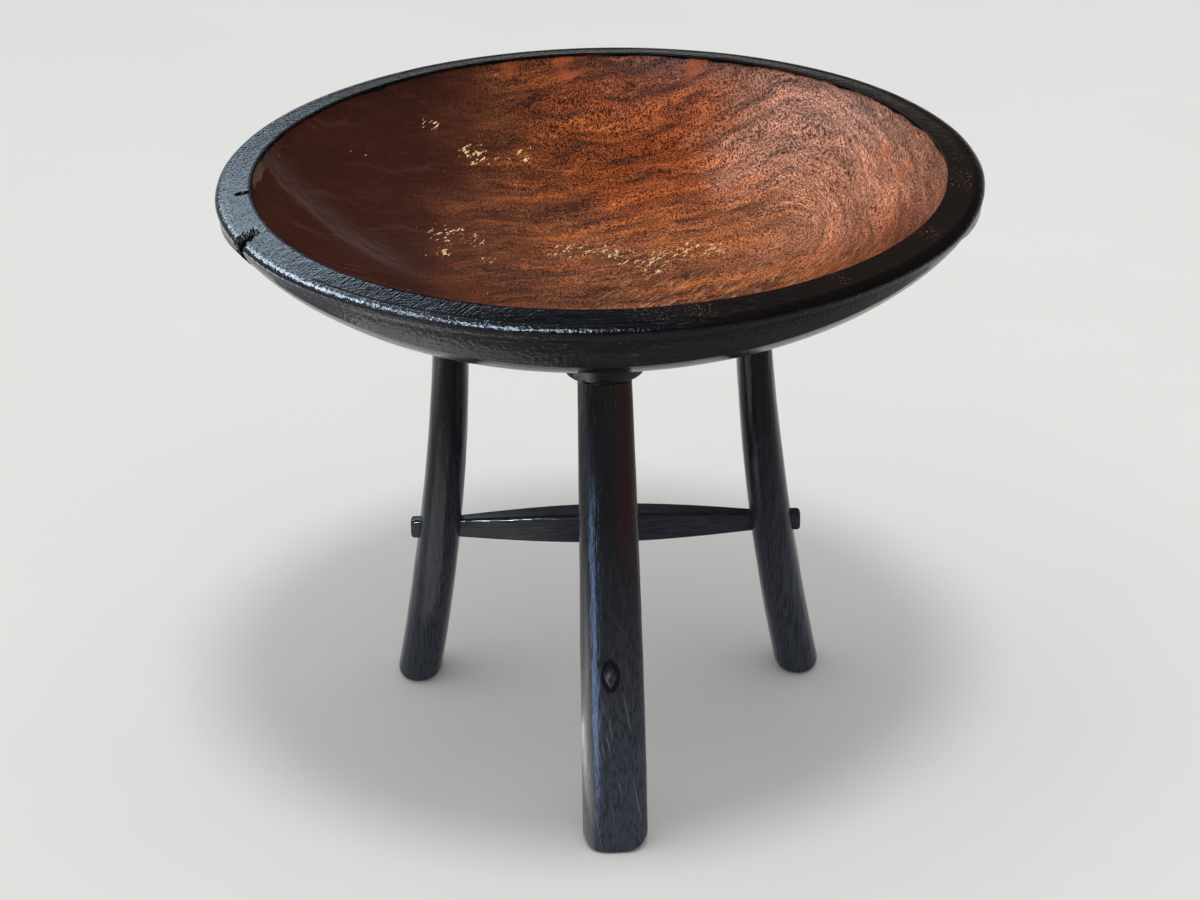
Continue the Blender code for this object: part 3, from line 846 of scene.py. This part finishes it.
PLUM_STREAKS, PLUM_ZONE = (0.47, 0.33), (0.22, 0.08, 0.22, 0.65)
BAND_TONE = STREAK_TONE = (0.34, 0.66, 0.82, 1.16)
THREAD_TONE, CLOUD_TONE = (0.32, 0.68, 0.74, 1.26), (0.32, 0.68, 0.84, 1.16)
TONES = (BAND_TONE, STREAK_TONE, THREAD_TONE, CLOUD_TONE)
TONE_ZONE, GRAIN_ZONE = (-0.16, -0.06, 0.35, 1.0), (-0.18, -0.02, 0.12, 1.0)
PALE_WINDOW = (0.38, 0.62)
RED_ROUGHNESS = (-0.20, 0.0, 0.20, 0.42)
THREAD_RELIEF, RED_RELIEF = 0.8, 0.4

# Inside: a painted sheen band on the left, and wear: bright and bare places, tan strokes near the front
SHEEN_BAND_ACROSS = (0.636, 0.771)
SHEEN_BAND_SPAN, SHEEN_BAND_LEFT = ((-0.147, -0.137), (-0.095, -0.137)), (-0.13, -0.18)
SHEEN_STREAK_WINDOW, SHEEN_BAND_SHARE = (0.32, 0.62, 0.25, 1.0), 0.36
BRIGHT_STREAKS, BRIGHT_SHARE = (0.38, 0.62), 0.7
WORN_LIFT, BARE_FLECKS = 0.18, (0.755, 0.81)
STROKE_WINDOW, STROKE_SHARE = (0.57, 0.66), 0.6
STROKE_FRONT, STROKE_SPAN = (0.01, -0.07), ((-0.03, 0.04), (0.24, 0.16))

# Rim and outside of the bowl: windows of x, and of the distance inside the lip
BROWN_RIGHT = (0.0, 0.2, 0.0, 0.8)
OUTER_SHADE_RIGHT, OUTER_SHADE_SHARE = (0.0, 0.15), 0.7
SHEEN_OUTER_LEFT = (-0.02, -0.16)
WALL_RUN = (ROLL_RUN, ROLL_RUN - 0.003)
RIM_TOP_RUN = ((ROLL_RUN, ROLL_RUN + 0.002), (-0.001, -0.004))
ROLL_SPAN = ((ROLL_RUN, ROLL_RUN - 0.002), (-0.060, -0.045))
RIM_SCUFF_STRETCH = (1.0, 1.0, 0.4)
GOLD_SCUFFS, GOLD_SHARE = (0.58, 0.68), 0.5
LIP_WANDER_REACH = 0.012
INSIDE_RUN = (0.0012, 0.0030)
BARE_LIP_OUTER, BARE_LIP_INNER, BARE_LIP_SHARE = (-0.001, 0.001), (0.010, 0.008), 0.8
SHADED_DAMAGE, DAMAGE_ROUGHNESS = (0.2, 0.5), 0.9
TORN_GLINT_SCUFFS, TORN_GLINT_SHARE = (0.44, 0.56), 0.8
BOWL_RELIEF, RIM_RELIEF = (0.7, 0.15, 0.9), (0.55, 0.25)

# Wedges and floor
WEDGE_WINDOW, WEDGE_ROUGHNESS = (0.35, 0.65), (0.3, 0.7, 0.6, 0.8)
MOTTLE_WINDOW, FLOOR_ROUGHNESS = (0.3, 0.7), 0.9


def black_layers(finish, place, fibre_scale):
    """Colour, roughness and the reliefs of fibres and grit of black-stained wood."""
    fibres = finish.stretch(place, fibre_scale)
    pores = finish.noise(fibres, *PORES)
    lines = finish.noise(fibres, *LINES)
    colour = finish.lay(BLACK_BLUE, BLACK_BROWN, (finish.noise(place, *PATCHES), BROWN_PATCHES))
    colour = finish.lay(colour, DEEP_BLACK_AND_SHADE, (lines, DEEP_LINES))
    # Pale specks along pores and lines: rubbed stain, partly painted glints
    colour = finish.lay(colour, RUBBED_AND_GLINT_GREY, (pores, RUBBED_GLINT_PORES), (lines, RUBBED_GLINT_LINES), RUBBED_GLINT_SHARE)
    roughness = finish.strength(finish.noise(fibres, *BANDS), BLACK_ROUGHNESS)
    fibre_relief = finish.total((lines, 1.0), (pores, PORE_RELIEF))
    return colour, roughness, (fibre_relief, finish.noise(place, *GRIT))


def paler_towards_floor(finish, place, colour, fibre_scale):
    """Paler towards the floor, less so in the dark fibres."""
    _, _, z = finish.split(place)
    fibres = finish.noise(finish.stretch(place, fibre_scale), *LOW_PALE_FIBRE_NOISE)
    patches = finish.noise(finish.stretch(place, LOW_PALE_STRETCH), *LOW_PALE_PATCH_NOISE)
    parts = (z, LOW_PALE_HEIGHT), (patches, LOW_PALE_PATCHES), (fibres, LOW_PALE_FIBRES)
    return finish.lay(colour, LOW_PALE_BLACK, *parts)


def black_wood(name, fibre_scale):
    finish = Finish(name)
    place = finish.place()
    colour, roughness, reliefs = black_layers(finish, place, fibre_scale)
    relief = finish.total(*zip(reliefs, BLACK_RELIEF))
    colour = paler_towards_floor(finish, place, colour, fibre_scale)
    return finish.wood(colour, roughness, relief, BLACK_BUMP, GLOSS)


def front_leg_wood():
    """Black wood, ruddy high up on the right, with a painted reflection down its left edge, painted shade
    round the tenon and scratches near the foot.
    """
    finish = Finish("front_leg_wood")
    place = finish.place()
    x, y, z = finish.split(place)
    colour, roughness, reliefs = black_layers(finish, place, LEG_FIBRES)
    relief = finish.total(*zip(reliefs, FRONT_RELIEF))
    colour = finish.lay(colour, RUDDY_BLACK, (x, RUDDY_SIDE), (z, RUDDY_HEIGHT), RUDDY_SHARE)
    colour = paler_towards_floor(finish, place, colour, LEG_FIBRES)
    # Painted reflection: a pale grey strip down the left edge, strongest near the foot
    colour = finish.lay(colour, PAINTED_EDGE_SHEEN, (x, SHEEN_EDGE_SIDE), (z, SHEEN_EDGE_HEIGHT), SHEEN_EDGE_SHARE)
    # Painted shade: a dark ring round the tenon where it comes through the leg
    aside = finish.math("DIVIDE", x, TENON_BASE_WIDTH / 2)
    above = finish.math("DIVIDE", finish.math("SUBTRACT", z, RAIL_LEVEL), TENON_BASE_HEIGHT / 2)
    colour = finish.lay(colour, DEEP_BLACK_AND_SHADE, (finish.squares(aside, above), TENON_SHADE))
    leaning = finish.total((x, 1.0), (z, SCRATCH_LEAN))
    scratches = finish.flowing_noise((leaning, y, z), *LEG_SCRATCHES)
    colour = finish.lay(colour, SCRATCH_GREY, (scratches, SCRATCHED), (z, SCRATCHED_HEIGHT), SCRATCH_SHARE)
    return finish.wood(colour, roughness, relief, BLACK_BUMP, GLOSS)


def laid_flat(finish, place, run):
    """The inside laid flat: each point at its true distance from the middle along the wall."""
    x, y, _ = finish.split(place)
    radius = finish.math("SQRT", finish.squares(x, y))
    distance = finish.math("SUBTRACT", INSIDE_REACH, run)
    growth = finish.math("DIVIDE", distance, finish.math("MAXIMUM", radius, SMALLEST_RADIUS))
    return finish.vector("SCALE", place, growth)


def grain_flow(finish, figure):
    """Distance across and along grain that bends round the swirl, and to the side of its axis."""
    x, y, _ = finish.split(finish.shifted(finish.shifted(figure, *SLOW_DRIFT), *QUICK_DRIFT))
    x, y = finish.math("SUBTRACT", x, SWIRL_X), finish.math("SUBTRACT", y, SWIRL_Y)
    c, s = math.cos(SWIRL_TURN), math.sin(SWIRL_TURN)
    x, y = finish.total((x, c), (y, s)), finish.total((y, c), (x, -s))
    right = finish.math("MAXIMUM", x, 0.0)
    across = finish.math("SQRT", finish.squares(right, y))
    bend = finish.math("ARCTAN2", right, finish.math("ABSOLUTE", y))
    along = finish.math("ADD", finish.math("MINIMUM", x, 0.0), finish.product(across, bend))
    return across, along, y


def red_zones(finish, x, y):
    """Slow changes of colour over the inside, with painted shade darkening the left and painted light and
    sheen paling the right.
    """
    warm = finish.lay(MIDDLE_BROWN, BACK_ORANGE, (y, BACK_ZONE))
    # Painted light and sheen: the right of the inside paler and pinker, over the swirl's own paler wood
    pale_and_sheen = finish.lay(FRONT_BROWN, SWIRL_PINK_AND_SHEEN, (y, PINK_ZONE))
    # Painted shade: the left of the inside darker, partly its own browner wood
    colour = finish.lay(SHADED_LEFT_BROWN, warm, (x, MIDDLE_ZONE))
    colour = finish.lay(colour, pale_and_sheen, (x, RIGHT_ZONE))
    # Painted light and sheen on the right wall, which faces the light
    colour = finish.lay(colour, WALL_PINK_AND_SHEEN, (x, SHEEN_WALL_ZONE))
    # Painted reflection: a pinkish sheen at the back on the right
    colour = finish.lay(colour, PAINTED_VEIL_SHEEN, (y, SHEEN_VEIL_BACK), (x, SHEEN_VEIL_RIGHT), SHEEN_VEIL_SHARE)
    colour = finish.lay(colour, BACK_SHADE, (y, SHADE_BACK), (x, SHADE_RIGHT))
    # Painted shade, deepest at the far left
    return finish.lay(colour, LEFT_SHADE_BROWN, (x, LEFT_SHADE_ZONE))


def red_wear_and_sheen(finish, colour, flat, figured, streaks):
    """A painted sheen band on the left, and bright and bare places and tan strokes over the grain."""
    x, y, _ = finish.split(finish.shifted(flat, *EDGE_DRIFT))
    # Painted reflection: a greyish sheen band across the left wall, broken into streaks
    sheen_band = finish.total(*zip((x, y), SHEEN_BAND_ACROSS))
    sheen_streaks = finish.slanting_noise(flat, *SHEEN_STREAK_NOISE)
    parts = (sheen_band, *SHEEN_BAND_SPAN), (x, SHEEN_BAND_LEFT), (sheen_streaks, SHEEN_STREAK_WINDOW), SHEEN_BAND_SHARE
    colour = finish.lay(colour, PAINTED_SHEEN_GREY, *parts)
    parts = finish.attribute("bright"), (streaks, BRIGHT_STREAKS), BRIGHT_SHARE
    colour = finish.lay(colour, ORANGE_RED, *parts)
    flecks = finish.slanting_noise(figured, *FLECKS)
    flecks = finish.total((flecks, 1.0), (finish.attribute("worn"), WORN_LIFT))
    colour = finish.lay(colour, BARE_PALE, (flecks, BARE_FLECKS))
    strokes = finish.slanting_noise(figured, *STROKES)
    parts = (strokes, STROKE_WINDOW), (y, STROKE_FRONT), (x, *STROKE_SPAN), STROKE_SHARE
    return finish.lay(colour, STROKE_TAN, *parts)


def red_layers(finish, place, run):
    """Colour, roughness and relief of the polished inside."""
    flat = laid_flat(finish, place, run)
    figured = finish.stretch(flat, FIGURE_STRETCH)
    flow = grain_flow(finish, figured)
    bands, streaks, threads, dashes = (finish.flowing_noise(flow, *grain) for grain in FLOW_GRAINS)
    cloud = finish.noise(figured, *CLOUD)
    x, y, _ = finish.split(finish.shifted(flat, *ZONE_DRIFT))
    colour = red_zones(finish, x, y)
    colour = finish.lay(colour, ORANGE_BROWN, (bands, GLOW_BANDS), (x, *GLOW_SPAN), GLOW_SHARE)
    colour = finish.lay(colour, ORANGE_BROWN, (streaks, WARM_STREAKS), (x, *WARM_SPAN), WARM_SHARE)
    colour = finish.lay(colour, PLUM_BROWN, (streaks, PLUM_STREAKS), (x, PLUM_ZONE))
    tones = zip((bands, streaks, threads, cloud), TONES)
    tone = finish.product(*(finish.strength(*pair) for pair in tones))
    colour = finish.vector("SCALE", colour, finish.blend(finish.strength(x, TONE_ZONE), 1.0, tone))
    open_grain = finish.strength(x, GRAIN_ZONE)
    # The grain's dark pores and pale dashes; the pale dashes are partly painted glints
    speckle = finish.lay(WHITE, finish.lay(DARK_PORES, PALE_DASHES_AND_GLINTS, (dashes, PALE_WINDOW)), open_grain)
    colour = finish.vector("MULTIPLY", colour, speckle)
    colour = red_wear_and_sheen(finish, colour, flat, figured, streaks)
    relief = finish.product(finish.total((dashes, 1.0), (threads, THREAD_RELIEF)), open_grain)
    return colour, finish.strength(x, RED_ROUGHNESS), relief


def rim_layers(finish, place, run, scuffs):
    """Colour, roughness and relief of the black rim and outside."""
    colour, roughness, reliefs = black_layers(finish, place, BOWL_FIBRES)
    x, _, _ = finish.split(place)
    colour = finish.lay(colour, RIM_BROWN, (x, BROWN_RIGHT))
    # Painted shade: the outside wall below the roll deeper black on the right
    colour = finish.lay(colour, DEEP_BLACK_AND_SHADE, (run, WALL_RUN), (x, OUTER_SHADE_RIGHT), OUTER_SHADE_SHARE)
    # Painted reflection: the outside wall below the roll lighter grey on the left
    colour = finish.lay(colour, PAINTED_OUTER_SHEEN, (run, WALL_RUN), (x, SHEEN_OUTER_LEFT))
    rim_top = finish.strength(run, *RIM_TOP_RUN)
    parts = (scuffs, GOLD_SCUFFS), finish.attribute("rubbed"), rim_top, GOLD_SHARE
    colour = finish.lay(colour, RUBBED_GOLD, *parts)
    hammered = finish.noise(place, *HAMMERING)
    rolled = finish.product(hammered, finish.strength(run, *ROLL_SPAN))
    brushed = finish.slanting_noise(place, *BRUSHING)
    rim_work = finish.total(*zip((brushed, hammered), RIM_RELIEF))
    relief = finish.total(*zip((*reliefs, rolled), BOWL_RELIEF), (rim_work, rim_top))
    return colour, roughness, relief


def bowl_wood(name, gloss):
    """Black wood on the rim and outside, polished red-brown wood inside."""
    finish = Finish(name)
    place = finish.place()
    run = finish.attribute("inside")
    scuffs = finish.noise(finish.stretch(place, RIM_SCUFF_STRETCH), *RIM_SCUFFS)
    black, black_rough, black_relief = rim_layers(finish, place, run, scuffs)
    red, red_rough, red_relief = red_layers(finish, place, run)
    wander = finish.math("SUBTRACT", finish.noise(place, *LIP_WANDER), 0.5)
    border = finish.math("ADD", run, finish.math("MULTIPLY", wander, LIP_WANDER_REACH))
    inside = finish.strength(border, INSIDE_RUN)
    colour = finish.mix(inside, black, red)
    parts = (border, BARE_LIP_INNER), (run, BARE_LIP_OUTER), finish.attribute("bare_lip"), BARE_LIP_SHARE
    colour = finish.lay(colour, BARE_EDGE, *parts)
    # Painted shade: the crack and the chip darkened to black in their hollows, and made rough
    damage = finish.strength(finish.attribute("damage"), SHADED_DAMAGE)
    colour = finish.lay(colour, DEEP_BLACK_AND_SHADE, damage)
    # Pale torn fibres on the chip's edges, their brightness partly a painted highlight
    colour = finish.lay(colour, TORN_GLINT_GREY, finish.attribute("torn"), (scuffs, TORN_GLINT_SCUFFS), TORN_GLINT_SHARE)
    roughness = finish.blend(damage, finish.blend(inside, black_rough, red_rough), DAMAGE_ROUGHNESS)
    relief = finish.blend(inside, black_relief, finish.product(red_relief, RED_RELIEF))
    return finish.wood(colour, roughness, relief, BOWL_BUMP, gloss)


def wedge_wood():
    finish = Finish("wedge_wood")
    grain = finish.noise(finish.stretch(finish.place(), WEDGE_FIBRES), *WEDGE_GRAIN)
    colour = finish.lay(WEDGE_PALE, WEDGE_DARK, (grain, WEDGE_WINDOW))
    return finish.wood(colour, finish.strength(grain, WEDGE_ROUGHNESS), grain, WEDGE_BUMP, WEDGE_GLOSS)


def floor_material():
    finish = Finish("floor")
    mottle = finish.noise(finish.place(), *FLOOR_MOTTLE)
    finish.set(
        Base_Color=finish.lay(FLOOR_PALE, FLOOR_PALER, (mottle, MOTTLE_WINDOW)),
        Roughness=FLOOR_ROUGHNESS,
        Specular_IOR_Level=0.0,
    )
    return finish.material


# Studio: colours of the light, metres and degrees
KEY_WHITE = (1, 1, 0.99)
SUN_WHITE = (1, 0.98, 0.95)
WINDOW_BLUE = (0.66, 0.83, 1)
SKY_BLUE = (0.36, 0.57, 1)
WARM_WHITE = (1, 0.95, 0.96)
COOL_WHITE = (0.91, 0.94, 1)
TAN = (1, 0.92, 0.84)
WORLD_COLOUR, WORLD_STRENGTH = (0.9, 0.95, 1, 1), 0.04
FLOOR_HALF = 40
SUN_DISTANCE = 4
BOWL_AIM = (0, 0, 0.8 * TABLE_HEIGHT)
RAIL_AIM = (-0.08, 0.0955, RAIL_LEVEL)
LEG_AIM = (-0.02, -0.21, 0.15)
FACE_UP = Vector((0, 0, -1))


def add_lamp(name, kind, energy, colour, place, axes, shines_on, **settings):
    """A lamp that lights either the plain colour of surfaces or only their gloss."""
    data = bpy.data.lights.new(name, kind)
    data.energy = energy
    data.color = colour
    for key, value in settings.items():
        setattr(data, key, value)
    lamp = bpy.data.objects.new(name, data)
    lamp.matrix_world = Matrix.Translation(place) @ axes.to_4x4()
    lamp.visible_glossy = shines_on == "gloss"
    lamp.visible_diffuse = shines_on == "colour"
    lamp.visible_camera = False
    bpy.context.scene.collection.objects.link(lamp)


def add_sun(name, irradiance, colour, azimuth, elevation, spread):
    """A far, soft lamp; angles in degrees."""
    rise = math.radians(elevation)
    direction = polar(azimuth, math.cos(rise), math.sin(rise))
    axes = direction.to_track_quat("Z", "Y").to_matrix()
    place = direction * SUN_DISTANCE
    add_lamp(name, "SUN", irradiance, colour, place, axes, "colour", angle=math.radians(spread))


def add_disc(name, irradiance, colour, place, breadth):
    """A round soft lamp over the table; irradiance is what reaches the floor."""
    place = Vector(place)
    energy = irradiance * math.pi * place.length_squared
    axes = place.to_track_quat("Z", "Y").to_matrix()
    add_lamp(name, "AREA", energy, colour, place, axes, "colour", shape="DISK", size=breadth)


def add_panel(name, start, end, breadth, radiance, colour=WINDOW_BLUE, spread=180, aim=BOWL_AIM):
    """A window or strip seen in the gloss: a panel along a line, turned to its aim or else face up."""
    start, end = Vector(start), Vector(end)
    middle = (start + end) / 2
    along = (end - start).normalized()
    away = middle - Vector(aim) if aim else FACE_UP
    away = (away - along * away.dot(along)).normalized()
    axes = Matrix((along, away.cross(along), away)).transposed()
    length = (end - start).length
    size = {"shape": "RECTANGLE", "size": length, "size_y": breadth, "spread": math.radians(spread)}
    add_lamp(name, "AREA", radiance * math.pi * length * breadth, colour, middle, axes, "gloss", **size)


def build_floor():
    mesh = bpy.data.meshes.new("floor")
    corners = [(x * FLOOR_HALF, y * FLOOR_HALF, 0.0) for x, y in ((-1, -1), (1, -1), (1, 1), (-1, 1))]
    mesh.from_pydata(corners, [], [(0, 1, 2, 3)])
    mesh.materials.append(floor_material())
    floor = bpy.data.objects.new("floor", mesh)
    bpy.context.scene.collection.objects.link(floor)


def build_lamps():
    add_sun("sky", irradiance=2.1, colour=WHITE, azimuth=0, elevation=90, spread=170)
    add_disc("key", irradiance=0.95, colour=KEY_WHITE, place=(0.2, -1.35, 5.85), breadth=1.2)
    add_sun("side", irradiance=0.25, colour=SUN_WHITE, azimuth=175, elevation=40, spread=60)
    add_panel("back_window", start=(-0.42, 2.45, 1.58), end=(-1.5, 2.07, 1.58), breadth=0.55, radiance=9.2)
    add_panel(
        "dim_window", start=(0.3, 2.45, 1.55), end=(-0.42, 2.45, 1.55), breadth=1.1, radiance=0.25,
        colour=WARM_WHITE,
    )
    rim_corner = (-1.151, 0.728, 1.583)
    add_panel("rim_strip_left", start=(-1.168, 1.495, 1.303), end=rim_corner, breadth=0.5, radiance=22)
    add_panel("rim_strip_front", start=rim_corner, end=(-0.819, 0.209, 1.748), breadth=0.5, radiance=90)
    add_panel("front_window", start=(-0.8, -0.38, 1.88), end=(-0.2, -0.92, 1.95), breadth=0.45, radiance=120)
    add_panel(
        "rail_strip", start=(-0.75, -1.0, 0.4), end=(-0.33, -1.1, 0.4), breadth=0.25, radiance=12,
        spread=26, aim=RAIL_AIM,
    )
    add_panel(
        "left_ground", start=(-2.0, 1.2, 0.004), end=(-2.0, -1.0, 0.004), breadth=2.1, radiance=6,
        colour=COOL_WHITE, aim=None,
    )
    add_panel(
        "leg_strip", start=(-0.242, -0.345, 0.105), end=(-0.168, -0.425, 0.105), breadth=0.2, radiance=2.3,
        colour=SKY_BLUE, spread=40, aim=LEG_AIM,
    )
    add_panel(
        "leg_ground", start=(-0.08, -0.16, 0.004), end=(-0.6, -0.16, 0.004), breadth=0.28, radiance=3,
        colour=TAN, aim=None,
    )


def build_world():
    world = bpy.data.worlds.new("studio")
    world.use_nodes = True
    background = world.node_tree.nodes["Background"]
    background.inputs["Color"].default_value = WORLD_COLOUR
    background.inputs["Strength"].default_value = WORLD_STRENGTH
    bpy.context.scene.world = world


def build_camera():
    data = bpy.data.cameras.new("camera")
    data.lens = CAMERA_LENS
    data.sensor_fit = "HORIZONTAL"
    data.sensor_width = CAMERA_SENSOR
    camera = bpy.data.objects.new("camera", data)
    turn = Matrix.Rotation(math.radians(-CAMERA_YAW), 4, "Z")
    tilt = Matrix.Rotation(math.radians(90 - CAMERA_DOWN), 4, "X")
    roll = Matrix.Rotation(math.radians(CAMERA_ROLL), 4, "Z")
    camera.matrix_world = Matrix.Translation(CAMERA_PLACE) @ turn @ tilt @ roll
    bpy.context.scene.collection.objects.link(camera)
    bpy.context.scene.camera = camera


# Table

build_bowl(bowl_wood("bowl_outside", GLOSS), bowl_wood("bowl_inside", INSIDE_GLOSS))
LEG_BLACK = black_wood("leg_wood", LEG_FIBRES)
for number, leg_side in enumerate(LEGS):
    build_leg(leg_side, SEED_STEP * (number + 1), front_leg_wood() if leg_side == "front" else LEG_BLACK)
build_cross_rail(black_wood("cross_rail_wood", CROSS_RAIL_FIBRES))
build_middle_rail(black_wood("middle_rail_wood", MIDDLE_RAIL_FIBRES))
WEDGE_FINISH = wedge_wood()
for leg_side in LEGS:
    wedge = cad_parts[f"{leg_side}_wedge"]
    wedge.data.materials.clear()
    wedge.data.materials.append(WEDGE_FINISH)

build_floor()
build_lamps()
build_world()
build_camera()
bpy.context.scene.view_settings.view_transform = "Standard"
